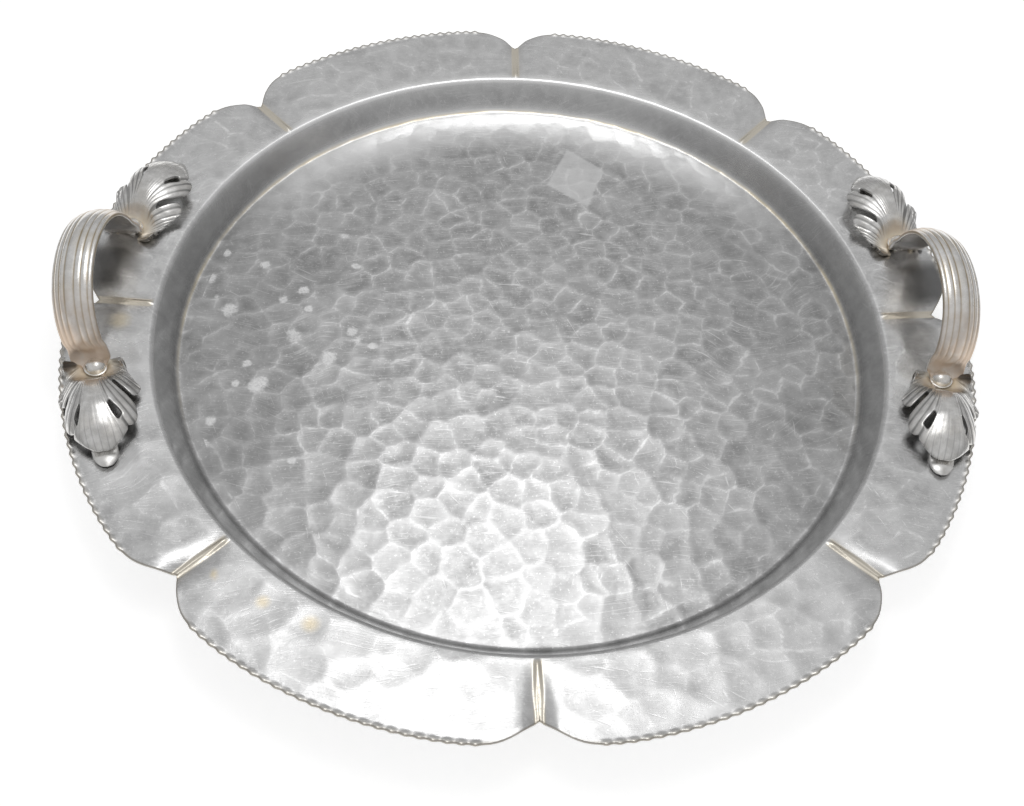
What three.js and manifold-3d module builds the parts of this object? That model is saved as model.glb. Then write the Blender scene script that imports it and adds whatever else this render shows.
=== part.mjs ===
// Round serving tray of hammered sheet aluminium: a shallow pan with a lobed, crimped flange,
// and two fluted strap handles that end in pierced leaves, held by four rivets.
// Millimetres, +Z up. The origin is the middle of the underside, and +X runs through the right handle.
import * as THREE from 'three';
import { mergeVertices } from 'three/addons/utils/BufferGeometryUtils.js';
import Module from 'manifold-3d';

// Pan
const SHEET = 1.4;
const WELL_RADIUS = 164;
const WELL_DEPTH = 15.6;
const WALL_FLARE = 7.7;
const FLOOR_FILLET = 3;
const SHOULDER_BEND = 1;
const FLANGE_WIDTH = 36.2;
const FLANGE_RISE = 5.4;

// Lobes of the flange, and the notch, valley and pressed bead between two lobes
const LOBES = 8;
const LOBE_CROWN = 0.6;
const NOTCH_DEPTH = 10.8;
const NOTCH_FLANK = 15;
const NOTCH_ROUND = 6;
const VALLEY_DEPTH = 3.2;
const VALLEY_HALF_WIDTH = 6.5;
const BEAD_WIDTH = 3.6;
const BEAD_HEIGHT = 1.2;
const BEAD_SETBACK = 2;

// Crimped edge of each lobe
const CRIMPS_PER_LOBE = 24;
const CRIMP_MARGIN = 19;
const CRIMP_BAND = 5.5;
const CRIMP_HEIGHT = 0.8;
const CRIMP_SCALLOP = 0.5;
const EDGE_DROP = 1.2;

// Strap of a handle
const HANDLE_SPAN = 69;
const HANDLE_SWELL = 3;
const HANDLE_HEIGHT = 31.8;
const HANDLE_OUTSET = 2.6;
const HANDLE_LEAN = THREE.MathUtils.degToRad(5.5);
const STRAP_WIDTH = 17.6;
const STRAP_FOOT_WIDTH = 17;
const STRAP_TILT = THREE.MathUtils.degToRad(9);
const STRAP_THICKNESS = 2.2;
const STRAP_CROWN = 1;
const FLUTES = 7;
const FLUTE_HEIGHT = 0.6;

// Leaf at each end of a handle, along and across its own axis from the rivet
const LEAF_TURN = THREE.MathUtils.degToRad(16);
const LEAF_THICKNESS = 2.2;
const LEAF_DOME = 9;
const LEAF_FALL = 0.6;
const VEIN_HEIGHT = 0.35;
const SEAT_RADIUS = 5;
const LEAF_TIP = new THREE.Vector2(50, 0);
const TONGUE = new THREE.Vector2(45.5, 6.2);
const TONGUE_NOTCH = new THREE.Vector2(38.5, 9);
const SECOND_LOBE = new THREE.Vector2(31, 13.9);
const SLIT_MOUTH = new THREE.Vector2(24, 13.4);
const SLIT_END = new THREE.Vector2(12.6, 7.4);
const SIDE_LOBE_EDGE = new THREE.Vector2(20.2, 13.6);
const SIDE_LOBE = new THREE.Vector2(16.2, 17);
const CURL_NOTCH = new THREE.Vector2(6.5, 8.5);
const CURL_LOBE = new THREE.Vector2(0, 12);
const FOOT_CORNER = new THREE.Vector2(-8.2, 8.4);
const FOOT_BACK = new THREE.Vector2(-8.4, 0);
const EYE_ROUND_END = new THREE.Vector2(25.5, 5.2);
const EYE_POINT = new THREE.Vector2(33, 8.9);
const EYE_RADIUS = 1.4;

// Rivets
const RIVET_INSET = 14.4;
const RIVET_OFFSET = 6.5;
const RIVET_HEAD_RADIUS = 3.9;
const RIVET_HEAD_HEIGHT = 2.5;
const RIVET_SHANK_RADIUS = 2;
const RIVET_TAIL_RADIUS = 3.1;
const RIVET_TAIL_HEIGHT = 1.3;

// Clearances
const SEAT_GAP = 0.3;
const SHANK_GAP = 0.3;

// Faceting
const WALL_SIDES = 80;
const BEND_STEPS = 2;
const FLANGE_STEPS = 6;
const BAND_STEPS = 12;
const STRAP_STATIONS = 22;
const OUTLINE_STEPS = 2;
const RIVET_SIDES = 16;
const DOME_STEPS = 4;
const LEAF_UPPER_SHARES = [0, 0.25, 0.5, 0.8, 1];
const LEAF_LOWER_SHARES = [1, 0.5, 0];

const wasm = await Module();
wasm.setup();

// Places worked out from the sizes above
const shoulderHeight = SHEET + WELL_DEPTH;
const lobeRadius = WELL_RADIUS + FLANGE_WIDTH;
const notchRadius = lobeRadius - LOBE_CROWN - NOTCH_DEPTH;
const lobePitch = (2 * Math.PI) / LOBES;
const rivetRadius = lobeRadius - RIVET_INSET;
const rivetY = HANDLE_SPAN / 2 + RIVET_OFFSET;
const rivetX = Math.sqrt(rivetRadius ** 2 - rivetY ** 2);
const zAxis = new THREE.Vector3(0, 0, 1);

// Solids and booleans

function toSolid(geometry) {
  const bare = geometry.clone();
  bare.deleteAttribute('normal');
  bare.deleteAttribute('uv');
  const merged = mergeVertices(bare, 1e-4);
  const mesh = new wasm.Mesh({
    numProp: 3,
    vertProperties: new Float32Array(merged.attributes.position.array),
    triVerts: new Uint32Array(merged.index.array),
  });
  return new wasm.Manifold(mesh);
}

function toGeometry(solid) {
  const mesh = solid.getMesh();
  const geometry = new THREE.BufferGeometry();
  geometry.setAttribute('position', new THREE.BufferAttribute(new Float32Array(mesh.vertProperties), 3));
  geometry.setIndex(new THREE.BufferAttribute(new Uint32Array(mesh.triVerts), 1));
  return geometry;
}

// A ring is a closed loop of points, each with its turn from 0 to 1 around the loop.
function evenRing(points) {
  return points.map((point, i) => ({ point, turn: i / points.length }));
}

// Lofts a skin through rings, which may hold different numbers of points. A ring of one point closes an end.
function loftRings(rings) {
  const positions = [];
  const index = [];
  const starts = [];
  for (const ring of rings) {
    starts.push(positions.length / 3);
    ring.forEach(({ point }) => positions.push(point.x, point.y, point.z));
  }
  const turnAfter = (ring, i) => {
    if (ring.length === 1 || i === ring.length) return Infinity;
    return i + 1 < ring.length ? ring[i + 1].turn : 1;
  };
  for (let k = 0; k + 1 < rings.length; k += 1) {
    const [near, far] = [rings[k], rings[k + 1]];
    const nearAt = (i) => starts[k] + (i % near.length);
    const farAt = (j) => starts[k + 1] + (j % far.length);
    let i = 0;
    let j = 0;
    while (Number.isFinite(Math.min(turnAfter(near, i), turnAfter(far, j)))) {
      if (turnAfter(far, j) <= turnAfter(near, i)) {
        index.push(nearAt(i), farAt(j), farAt(j + 1));
        j += 1;
      } else {
        index.push(nearAt(i), farAt(j), nearAt(i + 1));
        i += 1;
      }
    }
  }
  const geometry = new THREE.BufferGeometry();
  geometry.setAttribute('position', new THREE.Float32BufferAttribute(positions, 3));
  geometry.setIndex(index);
  return geometry;
}

// Pan

// Angle from the nearest notch, with its sign.
function fromNotch(angle) {
  return angle - Math.round(angle / lobePitch) * lobePitch;
}

// Outline of the flange: shallow lobes, with a rounded notch between each two.
function edgeRadius(angle) {
  const along = Math.abs(fromNotch(angle)) * lobeRadius;
  const crown = LOBE_CROWN * (1 - (1 - along / (lobePitch * lobeRadius / 2)) ** 2);
  const rest = NOTCH_FLANK - along;
  const dip = (Math.hypot(rest, NOTCH_ROUND) + rest) / (Math.hypot(NOTCH_FLANK, NOTCH_ROUND) + NOTCH_FLANK);
  return lobeRadius - LOBE_CROWN + crown - NOTCH_DEPTH * dip;
}

// Upper face of the plain flange, a shallow cone.
function flangeHeight(radius) {
  return shoulderHeight + FLANGE_RISE * (radius - WELL_RADIUS) / FLANGE_WIDTH;
}

// Valley folded into the flange at a notch, and the round bead pressed up along its bottom.
function pleatHeight(radius, angle) {
  const side = Math.abs(radius * Math.sin(fromNotch(angle)));
  const beadStart = WELL_RADIUS + BEAD_SETBACK;
  const run = THREE.MathUtils.clamp((radius - beadStart) / (notchRadius - beadStart), 0, 1);
  const valley = VALLEY_DEPTH * Math.sqrt(run) * Math.max(0, 1 - side / VALLEY_HALF_WIDTH);
  const half = BEAD_WIDTH / 2;
  const bead = radius > beadStart && side < half ? BEAD_HEIGHT * Math.sqrt(1 - (side / half) ** 2) : 0;
  return bead - valley;
}

// Rounds a corner of the sheet. Each point of its upper face comes with the normal of the sheet there.
function bendPoints(before, corner, after, radius) {
  const inward = corner.clone().sub(before).normalize();
  const onward = after.clone().sub(corner).normalize();
  const turn = Math.atan2(inward.cross(onward), inward.dot(onward));
  const side = Math.sign(turn);
  const start = corner.clone().addScaledVector(inward, -radius * Math.tan(Math.abs(turn) / 2));
  const startNormal = new THREE.Vector2(-inward.y, inward.x);
  const centre = start.clone().addScaledVector(startNormal, side * radius);
  const points = [];
  for (let i = 0; i <= BEND_STEPS; i += 1) {
    const normal = startNormal.clone().rotateAround(new THREE.Vector2(), turn * i / BEND_STEPS);
    points.push({ point: centre.clone().addScaledVector(normal, -side * radius), normal });
  }
  return points;
}

function roundRing(radius, height) {
  const points = [];
  for (let i = 0; i < WALL_SIDES; i += 1) {
    const angle = 2 * Math.PI * i / WALL_SIDES;
    points.push(new THREE.Vector3(radius * Math.cos(angle), radius * Math.sin(angle), height));
  }
  return evenRing(points);
}

// Ring of the flange: close points about each notch, and even steps along each lobe.
function flangeRing(notchScale, lobeSteps, place) {
  const half = BEAD_WIDTH / 2;
  const slope = (half + VALLEY_HALF_WIDTH) / 2;
  const flank = (VALLEY_HALF_WIDTH + NOTCH_FLANK) / 2;
  const offsets = [half / 2, half, slope, VALLEY_HALF_WIDTH, flank, NOTCH_FLANK, CRIMP_MARGIN];
  const angles = offsets.map((offset) => offset / notchScale);
  const last = angles.at(-1);
  const ring = [];
  for (let lobe = 0; lobe < LOBES; lobe += 1) {
    const turnsInLobe = [0, ...angles];
    for (let step = 1; step < lobeSteps; step += 1) {
      turnsInLobe.push(last + (lobePitch - 2 * last) * step / lobeSteps);
    }
    angles.toReversed().forEach((angle) => turnsInLobe.push(lobePitch - angle));
    const firstStep = offsets.length;
    turnsInLobe.forEach((within, i) => {
      const angle = lobe * lobePitch + within;
      const step = i >= firstStep && i <= firstStep + lobeSteps ? i - firstStep : 0;
      const { radius, height } = place(angle, step);
      const point = new THREE.Vector3(radius * Math.cos(angle), radius * Math.sin(angle), height);
      ring.push({ point, turn: angle / (2 * Math.PI) });
    });
  }
  return ring;
}

// Both faces of the flange, from the shoulder out to the edge, as pairs of rings.
function flangeRings(shoulderRadius) {
  const beadStart = WELL_RADIUS + BEAD_SETBACK;
  const beadFull = beadStart + BEAD_WIDTH / 2;
  const plain = (radius) => (angle) => {
    const height = flangeHeight(radius) + pleatHeight(radius, angle);
    return { radius, height };
  };
  const band = (angle) => plain(edgeRadius(angle) - CRIMP_BAND)(angle);
  const edge = (angle, step) => {
    const wave = step % 2 === 1 ? 1 : 0;
    const radius = edgeRadius(angle) + CRIMP_SCALLOP * wave;
    const height = flangeHeight(edgeRadius(angle)) + pleatHeight(edgeRadius(angle), angle);
    return { radius, height: height - EDGE_DROP + CRIMP_HEIGHT * wave };
  };
  const upper = [
    flangeRing(shoulderRadius, FLANGE_STEPS, plain(shoulderRadius)),
    flangeRing(beadStart, FLANGE_STEPS, plain(beadStart)),
    flangeRing(beadFull, FLANGE_STEPS, plain(beadFull)),
    flangeRing(notchRadius, BAND_STEPS, band),
    flangeRing(notchRadius, 2 * CRIMPS_PER_LOBE, edge),
  ];
  const lowered = ({ point, turn }) => ({ point: point.clone().addScaledVector(zAxis, -SHEET), turn });
  return { upper, lower: upper.map((ring) => ring.map(lowered)) };
}

function panSolid() {
  const floorCorner = new THREE.Vector2(WELL_RADIUS - WALL_FLARE, SHEET);
  const shoulder = new THREE.Vector2(WELL_RADIUS, shoulderHeight);
  const flangeEnd = new THREE.Vector2(lobeRadius, flangeHeight(lobeRadius));
  const foot = bendPoints(new THREE.Vector2(0, SHEET), floorCorner, shoulder, FLOOR_FILLET);
  const top = bendPoints(floorCorner, shoulder, flangeEnd, SHOULDER_BEND + SHEET);
  const shoulderRadius = top.at(-1).point.x;
  const wall = [...foot, ...top.slice(0, -1)];
  const upperWall = wall.map(({ point }) => roundRing(point.x, point.y));
  const lowerWall = wall.map(({ point, normal }) => {
    const under = point.clone().addScaledVector(normal, -SHEET);
    return roundRing(under.x, under.y);
  });
  const { upper, lower } = flangeRings(shoulderRadius);
  const rings = [
    evenRing([new THREE.Vector3(0, 0, SHEET)]),
    ...upperWall,
    ...upper,
    ...lower.toReversed(),
    ...lowerWall.toReversed(),
    evenRing([new THREE.Vector3(0, 0, 0)]),
  ];
  return toSolid(loftRings(rings));
}

// Handle

// Underside of a foot or leaf, lying on the flange.
function seatHeight(x, y) {
  return flangeHeight(Math.hypot(x, y)) + SEAT_GAP;
}

// Fluted strap, bent to a swelled half ellipse in a plane that leans outwards. Its ends stop inside the feet.
function strapSolid() {
  const up = new THREE.Vector3(Math.sin(HANDLE_LEAN), 0, Math.cos(HANDLE_LEAN));
  const forward = new THREE.Vector3(0, 1, 0);
  const across = new THREE.Vector3(Math.cos(STRAP_TILT), 0, -Math.sin(STRAP_TILT));
  const footX = rivetX + HANDLE_OUTSET;
  const footHeight = seatHeight(footX, HANDLE_SPAN / 2) + LEAF_THICKNESS / 2;
  const base = new THREE.Vector3(footX, 0, footHeight);
  const rings = [];
  for (let station = 0; station <= STRAP_STATIONS; station += 1) {
    const sweep = Math.PI * station / STRAP_STATIONS;
    const rise = Math.sin(sweep);
    const halfSpan = HANDLE_SPAN / 2 + HANDLE_SWELL * rise;
    const normal = forward.clone().multiplyScalar(-HANDLE_HEIGHT * Math.cos(sweep));
    normal.addScaledVector(up, halfSpan * rise - HANDLE_SWELL * Math.cos(sweep) ** 2).normalize();
    const middle = base.clone().addScaledVector(forward, -halfSpan * Math.cos(sweep));
    middle.addScaledVector(up, HANDLE_HEIGHT * rise);
    const width = THREE.MathUtils.lerp(STRAP_FOOT_WIDTH, STRAP_WIDTH, rise);
    const atFoot = station === 0 || station === STRAP_STATIONS;
    const place = (offset, outside, flute) => {
      const crown = STRAP_CROWN * rise * (1 - (2 * offset / width) ** 2);
      const depth = crown + (outside ? STRAP_THICKNESS / 2 + flute * rise : -STRAP_THICKNESS / 2);
      const point = middle.clone().addScaledVector(across, offset).addScaledVector(normal, depth);
      if (atFoot) point.z = seatHeight(point.x, point.y) + LEAF_THICKNESS / 2;
      return point;
    };
    const section = [];
    for (let i = 0; i <= 2 * FLUTES; i += 1) {
      section.push(place(width * (0.5 - i / (2 * FLUTES)), true, i % 2 === 1 ? FLUTE_HEIGHT : 0));
    }
    for (const offset of [-width / 2, 0, width / 2]) section.push(place(offset, false, 0));
    rings.push(evenRing(section));
  }
  const middleOf = (ring) => {
    const centre = new THREE.Vector3();
    ring.forEach(({ point }) => centre.addScaledVector(point, 1 / ring.length));
    return evenRing([centre]);
  };
  return toSolid(loftRings([middleOf(rings[0]), ...rings, middleOf(rings.at(-1))]));
}

// Half of the leaf's outline, from its tip round to the back of its foot.
function leafHalfOutline() {
  const path = new THREE.Path().moveTo(LEAF_TIP.x, LEAF_TIP.y);
  path.quadraticCurveTo(LEAF_TIP.x, TONGUE.y, TONGUE.x, TONGUE.y);
  path.lineTo(TONGUE_NOTCH.x, TONGUE_NOTCH.y);
  path.quadraticCurveTo(TONGUE_NOTCH.x, SECOND_LOBE.y, SECOND_LOBE.x, SECOND_LOBE.y);
  path.lineTo(SLIT_MOUTH.x, SLIT_MOUTH.y);
  path.lineTo(SLIT_END.x, SLIT_END.y);
  path.lineTo(SIDE_LOBE_EDGE.x, SIDE_LOBE_EDGE.y);
  path.quadraticCurveTo(SIDE_LOBE_EDGE.x, SIDE_LOBE.y, SIDE_LOBE.x, SIDE_LOBE.y);
  path.quadraticCurveTo(CURL_NOTCH.x, SIDE_LOBE.y, CURL_NOTCH.x, CURL_NOTCH.y);
  path.quadraticCurveTo(CURL_NOTCH.x, CURL_LOBE.y, CURL_LOBE.x, CURL_LOBE.y);
  path.quadraticCurveTo(FOOT_CORNER.x, CURL_LOBE.y, FOOT_CORNER.x, FOOT_CORNER.y);
  path.lineTo(FOOT_BACK.x, FOOT_BACK.y);
  return path.getPoints(OUTLINE_STEPS);
}

// Places a point of the leaf, given along and across its axis, at the front (-1) or rear (1) of the handle.
function leafPlan(along, aside, end) {
  const axis = new THREE.Vector2(-Math.sin(LEAF_TURN), end * Math.cos(LEAF_TURN));
  return new THREE.Vector2(
    rivetX + along * axis.x - aside * axis.y,
    end * rivetY + along * axis.y + aside * axis.x,
  );
}

// Height of the leaf's underside over the flange. The leaf is domed along its axis and falls to its margins.
function leafLift(spot) {
  const along = THREE.MathUtils.clamp(spot.x / LEAF_TIP.x, 0, 1);
  const aside = spot.y / SIDE_LOBE.y;
  return LEAF_DOME * Math.sin(Math.PI * along) * (1 - LEAF_FALL * aside ** 2);
}

// Domed leaf with radiating veins. Its foot lies on the flange and the rest springs clear of it.
function leafSolid(end) {
  const half = leafHalfOutline();
  const otherHalf = half.slice(1, -1).toReversed().map((point) => new THREE.Vector2(point.x, -point.y));
  const outline = [...half, ...otherHalf];
  const ring = (share, upper) => evenRing(outline.map((margin, i) => {
    const reach = THREE.MathUtils.lerp(SEAT_RADIUS, margin.length(), share);
    const spot = margin.clone().setLength(reach);
    const plan = leafPlan(spot.x, spot.y, end);
    const free = THREE.MathUtils.smoothstep(spot.x, SEAT_RADIUS, 3 * SEAT_RADIUS);
    const lift = free * leafLift(spot);
    const vein = i % 2 === 1 && share < 1 ? -VEIN_HEIGHT * free * share : 0;
    const height = seatHeight(plan.x, plan.y) + lift + (upper ? LEAF_THICKNESS + vein : 0);
    return new THREE.Vector3(plan.x, plan.y, height);
  }));
  const centre = (rise) => {
    const plan = leafPlan(0, 0, end);
    return evenRing([new THREE.Vector3(plan.x, plan.y, seatHeight(plan.x, plan.y) + rise)]);
  };
  const upper = LEAF_UPPER_SHARES.map((share) => ring(share, true));
  const lower = LEAF_LOWER_SHARES.map((share) => ring(share, false));
  return toSolid(loftRings([centre(LEAF_THICKNESS), ...upper, ...lower, centre(0)]));
}

// Cutter for the teardrop eye pierced on one side (1 or -1) of a leaf.
function eyeCutter(end, side) {
  const shape = new THREE.Shape();
  const heading = EYE_POINT.clone().sub(EYE_ROUND_END).angle();
  const quarter = Math.PI / 2;
  shape.moveTo(EYE_POINT.x, EYE_POINT.y);
  shape.absarc(EYE_ROUND_END.x, EYE_ROUND_END.y, EYE_RADIUS, heading + quarter, heading + 3 * quarter);
  const outline = shape.getPoints(OUTLINE_STEPS * 2).map((point) => leafPlan(point.x, side * point.y, end));
  const depth = 4 * (LEAF_THICKNESS + LEAF_DOME);
  const cutter = new THREE.ExtrudeGeometry(new THREE.Shape(outline), { depth, bevelEnabled: false });
  cutter.translate(0, 0, flangeHeight(rivetRadius) - depth / 2);
  return toSolid(cutter);
}

// Rivets

// Frame on the flange at a rivet: its origin on the upper face, its Z along the face's normal.
function rivetFrame(sideX, end) {
  const slope = Math.atan2(FLANGE_RISE, FLANGE_WIDTH);
  const outward = new THREE.Vector3(sideX * rivetX, end * rivetY, 0).normalize();
  const normal = zAxis.clone().multiplyScalar(Math.cos(slope)).addScaledVector(outward, -Math.sin(slope));
  const group = new THREE.Group();
  group.position.set(sideX * rivetX, end * rivetY, flangeHeight(rivetRadius));
  group.quaternion.setFromUnitVectors(zAxis, normal);
  group.updateMatrixWorld();
  return group;
}

// Cutter for the hole that a rivet's shank passes through.
function shankCutter(sideX, end) {
  const length = 4 * (LEAF_THICKNESS + SHEET);
  const radius = RIVET_SHANK_RADIUS + SHANK_GAP;
  const hole = new THREE.CylinderGeometry(radius, radius, length, RIVET_SIDES);
  hole.rotateX(Math.PI / 2);
  hole.applyMatrix4(rivetFrame(sideX, end).matrixWorld);
  return toSolid(hole);
}

// Domed head, shank and upset tail, turned in one.
function rivetGeometry() {
  const headBase = SEAT_GAP + LEAF_THICKNESS + SEAT_GAP;
  const tailBase = -SHEET - SEAT_GAP;
  const tailRound = RIVET_TAIL_HEIGHT / 2;
  const profile = [
    new THREE.Vector2(0, tailBase - RIVET_TAIL_HEIGHT),
    new THREE.Vector2(RIVET_TAIL_RADIUS - tailRound, tailBase - RIVET_TAIL_HEIGHT),
    new THREE.Vector2(RIVET_TAIL_RADIUS, tailBase - tailRound),
    new THREE.Vector2(RIVET_TAIL_RADIUS, tailBase),
    new THREE.Vector2(RIVET_SHANK_RADIUS, tailBase),
    new THREE.Vector2(RIVET_SHANK_RADIUS, headBase),
  ];
  for (let step = 0; step <= DOME_STEPS; step += 1) {
    const sweep = Math.PI / 2 * step / DOME_STEPS;
    const radius = step === DOME_STEPS ? 0 : RIVET_HEAD_RADIUS * Math.cos(sweep);
    profile.push(new THREE.Vector2(radius, headBase + RIVET_HEAD_HEIGHT * Math.sin(sweep)));
  }
  const geometry = new THREE.LatheGeometry(profile, RIVET_SIDES);
  geometry.rotateX(Math.PI / 2);
  return toGeometry(toSolid(geometry));
}

// Assembly

function addMesh(parent, name, geometry, material) {
  geometry.computeVertexNormals();
  const mesh = new THREE.Mesh(geometry, material);
  mesh.name = name;
  parent.add(mesh);
  return mesh;
}

const hammered = new THREE.MeshStandardMaterial({ color: 0xa9aaab, roughness: 0.36, metalness: 0.9 });
const polished = new THREE.MeshStandardMaterial({ color: 0xb5b1a8, roughness: 0.28, metalness: 0.9 });
const rivetMetal = new THREE.MeshStandardMaterial({ color: 0xc2b9a4, roughness: 0.3, metalness: 0.9 });

const ends = { front: -1, rear: 1 };
const sides = { left: -1, right: 1 };

let pan = panSolid();
for (const sideX of Object.values(sides)) {
  for (const end of Object.values(ends)) pan = pan.subtract(shankCutter(sideX, end));
}

let handle = strapSolid();
for (const end of Object.values(ends)) {
  let leaf = leafSolid(end);
  for (const side of [-1, 1]) leaf = leaf.subtract(eyeCutter(end, side));
  handle = handle.add(leaf).subtract(shankCutter(sides.right, end));
}

const tray = new THREE.Group();
addMesh(tray, 'tray_pan', toGeometry(pan), hammered);
for (const [sideName, sideX] of Object.entries(sides)) {
  const turned = new THREE.Group();
  turned.rotation.z = sideX > 0 ? 0 : Math.PI;
  tray.add(turned);
  addMesh(turned, `${sideName}_handle`, toGeometry(handle), polished);
  for (const [endName, end] of Object.entries(ends)) {
    const frame = rivetFrame(sideX, end);
    tray.add(frame);
    addMesh(frame, `${sideName}_${endName}_rivet`, rivetGeometry(), rivetMetal);
  }
}

export default tray;
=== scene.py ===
import math
import random

import bmesh
import bpy
import numpy as np
from mathutils import Matrix, Vector, kdtree, noise


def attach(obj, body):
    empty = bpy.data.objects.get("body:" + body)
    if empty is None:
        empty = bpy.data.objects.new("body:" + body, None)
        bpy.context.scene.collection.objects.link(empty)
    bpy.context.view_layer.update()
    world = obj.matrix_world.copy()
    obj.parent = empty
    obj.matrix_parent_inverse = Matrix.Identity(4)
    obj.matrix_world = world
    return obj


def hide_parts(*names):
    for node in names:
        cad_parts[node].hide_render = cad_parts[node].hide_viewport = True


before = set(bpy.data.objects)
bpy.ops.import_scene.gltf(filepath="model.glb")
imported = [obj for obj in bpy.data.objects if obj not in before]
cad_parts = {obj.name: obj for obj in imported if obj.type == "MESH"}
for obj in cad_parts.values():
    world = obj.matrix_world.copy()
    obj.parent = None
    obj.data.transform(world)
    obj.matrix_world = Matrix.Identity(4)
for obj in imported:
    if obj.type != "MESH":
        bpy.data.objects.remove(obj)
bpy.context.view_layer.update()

# Sizes in millimetres, the same as the solids'
MM = 0.001
SHEET = 1.4
WELL_RADIUS = 164.0
WELL_DEPTH = 15.6
WALL_FLARE = 7.7
FLOOR_FILLET = 3.0
SHOULDER_BEND = 1.0
FLANGE_WIDTH = 36.2
FLANGE_RISE = 5.4
LOBES = 8
LOBE_CROWN = 0.6
NOTCH_DEPTH = 10.8
NOTCH_FLANK = 15.0
NOTCH_ROUND = 6.0
VALLEY_DEPTH = 2.8
VALLEY_HALF_WIDTH = 6.5
BEAD_WIDTH = 5.0
BEAD_HEIGHT = 0.9
CRIMPS_PER_LOBE = 24
CRIMP_MARGIN = 19.0
CRIMP_BAND = 2.0
CRIMP_HEIGHT = 0.5
CRIMP_SCALLOP = 0.6
EDGE_RISE = 0.05
HANDLE_SPAN = 69.0
HANDLE_SWELL = 3.0
HANDLE_HEIGHT = 31.8
HANDLE_OUTSET = 2.6
HANDLE_LEAN = math.radians(5.5)
STRAP_WIDTH = 17.6
STRAP_FOOT_WIDTH = 17.0
STRAP_TILT = math.radians(9)
STRAP_THICKNESS = 2.2
STRAP_CROWN = 2.4
FLUTE_HEIGHT = 0.34
HANDLE_SWAY = 0.045
LEAF_TURN = math.radians(16)
LEAF_SHEET = 1.6
RIVET_INSET = 14.4
RIVET_OFFSET = 6.5
RIVET_HEAD_RADIUS = 4.1
RIVET_HEAD_HEIGHT = 3.4
RIVET_COLLAR = 0.5
RIVET_HEAD_BASE = 3.4
RIVET_TAIL_RADIUS = 3.1
RIVET_TAIL_HEIGHT = 1.3

shoulder_height = SHEET + WELL_DEPTH
floor_radius = WELL_RADIUS - WALL_FLARE
lobe_radius = WELL_RADIUS + FLANGE_WIDTH
notch_radius = lobe_radius - LOBE_CROWN - NOTCH_DEPTH
lobe_pitch = 2 * math.pi / LOBES
flange_slope = FLANGE_RISE / FLANGE_WIDTH
rivet_y = HANDLE_SPAN / 2 + RIVET_OFFSET
rivet_radius = lobe_radius - RIVET_INSET
rivet_x = math.sqrt(rivet_radius ** 2 - rivet_y ** 2)


# Small helpers

def ease(low, high, value):
    share = np.clip((value - low) / (high - low), 0, 1)
    return share * share * (3 - 2 * share)


def place_all(bm, points):
    for vert, point in zip(bm.verts, points):
        vert.co = point


def points_of(bm):
    return np.array([vert.co for vert in bm.verts])


def write_layer(bm, name, values):
    layer = bm.verts.layers.float.new(name)
    for vert, value in zip(bm.verts, values):
        vert[layer] = float(value)


def make_piece(name, bm, material, nodes, sharp=40):
    bmesh.ops.scale(bm, vec=(MM, MM, MM), verts=bm.verts[:])
    mesh = bpy.data.meshes.new(name)
    bm.to_mesh(mesh)
    bm.free()
    mesh.shade_smooth()
    if sharp:
        mesh.set_sharp_from_angle(angle=math.radians(sharp))
    mesh.materials.append(material)
    piece = bpy.data.objects.new(name, mesh)
    bpy.context.scene.collection.objects.link(piece)
    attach(piece, "root")
    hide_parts(*nodes)
    return piece


def flange_height(radius):
    return shoulder_height + flange_slope * (radius - WELL_RADIUS)


# Hammer marks

def scatter_dents(seed, inner, outer, spacing, tries):
    chance = random.Random(seed)
    places = np.zeros((0, 2))
    reaches = np.zeros(0)
    for _ in range(tries):
        radius = math.sqrt(chance.uniform(inner ** 2, outer ** 2))
        angle = chance.uniform(0, 2 * math.pi)
        place = np.array([radius * math.cos(angle), radius * math.sin(angle)])
        reach = chance.uniform(*spacing)
        if len(places) and (np.hypot(*(places - place).T) < (reaches + reach) / 2).any():
            continue
        places = np.vstack([places, place])
        reaches = np.append(reaches, reach)
    tree = kdtree.KDTree(len(places))
    for i, (x, y) in enumerate(places):
        tree.insert((x, y, 0), i)
    tree.balance()
    curve = [math.exp(chance.uniform(-0.3, 0.3)) for _ in places]
    sink = [chance.uniform(0, 0.06) for _ in places]
    lean = [(chance.gauss(0, 0.009), chance.gauss(0, 0.009)) for _ in places]
    tone = [chance.random() for _ in places]
    return {"tree": tree, "curve": curve, "sink": sink, "lean": lean, "tone": tone}


# Each blow leaves a shallow round dish, and the dishes meet in wavy ridges.
def dent_field(dents, xs, ys, hammer_radius, softness):
    heights = np.zeros(len(xs))
    ridges = np.full(len(xs), 1.0)
    tones = np.zeros(len(xs))
    for k, (x, y) in enumerate(zip(xs, ys)):
        wander = noise.noise_vector((x * 0.12, y * 0.12, 3.7)) * 2.0 + noise.noise_vector((x * 0.35, y * 0.35, 8.1)) * 0.7
        dishes = []
        for place, i, distance in dents["tree"].find_n((x + wander.x, y + wander.y, 0), 5):
            dish = distance ** 2 * dents["curve"][i] / (2 * hammer_radius) - dents["sink"][i]
            lean = dents["lean"][i]
            dishes.append((dish + lean[0] * (x - place.x) + lean[1] * (y - place.y), dents["tone"][i]))
        dishes.sort()
        low = dishes[0][0]
        shares = [math.exp((low - dish) / softness) for dish, _ in dishes]
        heights[k] = low - softness * math.log(sum(shares))
        ridges[k] = dishes[1][0] - low
        tones[k] = sum(share * tone for share, (_, tone) in zip(shares, dishes)) / sum(shares)
    return heights, ridges, tones


# Pan

FLOOR_PANEL = 150.6
POCKET = 0.7
LOBE_STEPS = 100
NOTCH_STEPS = (0, 0.3, 0.6, 0.9, 1.2, 1.5, 1.8, 2.1, 2.5, 3.2, 4.4, 6.5, 10.0, 14.5, 19.0)


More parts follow.
